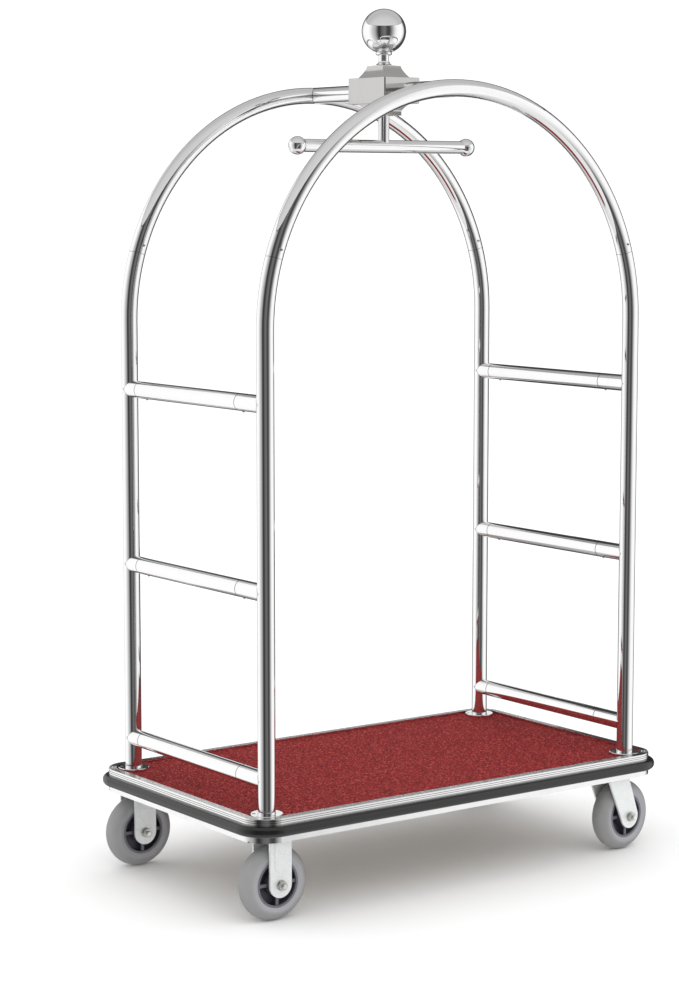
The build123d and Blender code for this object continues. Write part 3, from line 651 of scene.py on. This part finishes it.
def joined(name, *meshes):
    """Several meshes as one hidden pattern object."""
    bm = bmesh.new()
    for mesh in meshes:
        bm.from_mesh(mesh)
    bmesh.ops.remove_doubles(bm, verts=bm.verts, dist=1e-6)
    bmesh.ops.recalc_face_normals(bm, faces=bm.faces)
    mesh = bpy.data.meshes.new(name)
    bm.to_mesh(mesh)
    bm.free()
    return bpy.data.objects.new(name, mesh)


def cone(low_radius, high_radius, low, high, count=24):
    bm = bmesh.new()
    bmesh.ops.create_cone(
        bm, cap_ends=True, segments=count, radius1=low_radius, radius2=high_radius, depth=high - low,
        matrix=Matrix.Translation((0, 0, (low + high) / 2)),
    )
    mesh = bpy.data.meshes.new("cone")
    bm.to_mesh(mesh)
    bm.free()
    return mesh


def repeat_tree():
    """A tree that sets a pattern on every point, facing the point's way and turned at random."""
    tree = bpy.data.node_groups.new("set_on_points", "GeometryNodeTree")
    for name, kind, way in (
        ("Geometry", "NodeSocketGeometry", "INPUT"), ("Pattern", "NodeSocketObject", "INPUT"),
        ("Size", "NodeSocketFloat", "INPUT"), ("Turn", "NodeSocketFloat", "INPUT"),
        ("Seed", "NodeSocketInt", "INPUT"), ("Finish", "NodeSocketMaterial", "INPUT"),
        ("Geometry", "NodeSocketGeometry", "OUTPUT"),
    ):
        tree.interface.new_socket(name, in_out=way, socket_type=kind)
    new = tree.nodes.new
    link = tree.links.new
    given = new("NodeGroupInput")
    shape = new("GeometryNodeObjectInfo")
    link(given.outputs["Pattern"], shape.inputs["Object"])
    facing = new("GeometryNodeInputNamedAttribute")
    facing.data_type = "FLOAT_VECTOR"
    facing.inputs["Name"].default_value = "facing"
    align = new("FunctionNodeAlignRotationToVector")
    align.axis = "Z"
    link(facing.outputs["Attribute"], align.inputs["Vector"])
    chance = new("FunctionNodeRandomValue")
    chance.data_type = "FLOAT"
    link(given.outputs["Turn"], chance.inputs[3])
    link(given.outputs["Seed"], chance.inputs["Seed"])
    spin = new("FunctionNodeRotateRotation")
    spin.rotation_space = "LOCAL"
    own = new("ShaderNodeCombineXYZ")
    link(chance.outputs[1], own.inputs["Z"])
    turned = new("FunctionNodeEulerToRotation")
    link(own.outputs[0], turned.inputs[0])
    link(align.outputs[0], spin.inputs[0])
    link(turned.outputs[0], spin.inputs[1])
    put = new("GeometryNodeInstanceOnPoints")
    link(given.outputs["Geometry"], put.inputs["Points"])
    link(shape.outputs["Geometry"], put.inputs["Instance"])
    link(spin.outputs[0], put.inputs["Rotation"])
    link(given.outputs["Size"], put.inputs["Scale"])
    real = new("GeometryNodeRealizeInstances")
    link(put.outputs[0], real.inputs[0])
    paint = new("GeometryNodeSetMaterial")
    link(real.outputs[0], paint.inputs["Geometry"])
    link(given.outputs["Finish"], paint.inputs["Material"])
    out = new("NodeGroupOutput")
    link(paint.outputs[0], out.inputs[0])
    return tree


set_on_points = repeat_tree()


def repeated(name, pattern, places, finish, size=1.0, turn=math.tau, seed=3):
    """A pattern on each of places, which are (point, direction it faces)."""
    mesh = bpy.data.meshes.new(name + "_places")
    mesh.from_pydata([tuple(point) for point, way in places], [], [])
    facing = mesh.attributes.new("facing", "FLOAT_VECTOR", "POINT")
    for spot, (point, way) in zip(facing.data, places):
        spot.vector = way
    holder = bpy.data.objects.new(name, mesh)
    bpy.context.scene.collection.objects.link(holder)
    modifier = holder.modifiers.new("repeat", "NODES")
    modifier.node_group = set_on_points
    given = {"Pattern": pattern, "Size": size, "Turn": turn, "Seed": seed, "Finish": finish}
    for item in set_on_points.interface.items_tree:
        if item.in_out == "INPUT" and item.name in given:
            modifier[item.identifier] = given[item.name]
    bpy.context.view_layer.update()
    evaluated = holder.evaluated_get(bpy.context.evaluated_depsgraph_get())
    result = bpy.data.meshes.new_from_object(evaluated)
    holder.modifiers.remove(modifier)
    holder.data = result
    bpy.data.objects.remove(pattern)
    result.polygons.foreach_set("use_smooth", [False] * len(result.polygons))
    return holder


flange_top = flange_high.z
flange_pattern = joined(
    "flange_screw_pattern",
    drawn_plate([circle(0.0039), cross(0.0024, 0.00045)], -0.0009, -0.00005, 0.0001),
    cone(0.0021, 0.0030, -0.0018, -0.0009),
    cone(0.0019, 0.0019, -0.0160, -0.0018, 16),
)
flange_places = []
for sx in (-1, 1):
    for sy in (-1, 1):
        for k in range(3):
            a = math.radians(30 + 120 * k)
            x = sx * post_x + flange_screw_reach * math.cos(a)
            y = sy * post_y + flange_screw_reach * math.sin(a)
            flange_places.append(((x, y, flange_top), (0, 0, 1)))
flange_heads = repeated("flange_screw_heads", flange_pattern, flange_places, screw_steel)
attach(flange_heads, "cart")
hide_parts("flange_screws")

set_pattern = joined(
    "set_screw_pattern",
    drawn_plate([circle(0.0024), circle(0.00125, 6)], -0.0016, 0.0, 0.00015),
    cone(0.0024, 0.0024, -0.0058, -0.0016),
)
set_places = []
for sx in (-1, 1):
    for rung_low, rung_high in rungs:
        z = (rung_low.z + rung_high.z) / 2
        for y in (rung_ends[0] - front_screw_offset, rung_ends[1] - rear_screw_offset):
            set_places.append(((sx * post_x, y, z - tube_radius - screw_stand), (0, 0, -1)))
for sx in (-1, 1):
    for sy in (-1, 1):
        x = sx * post_x * math.cos(screw_angle)
        y = sy * post_y - tube_radius - screw_stand
        set_places.append(((x, y, spring + post_x * math.sin(screw_angle)), (0, -1, 0)))
set_heads = repeated("set_screw_heads", set_pattern, set_places, screw_steel, seed=11)
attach(set_heads, "cart")
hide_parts("set_screws")
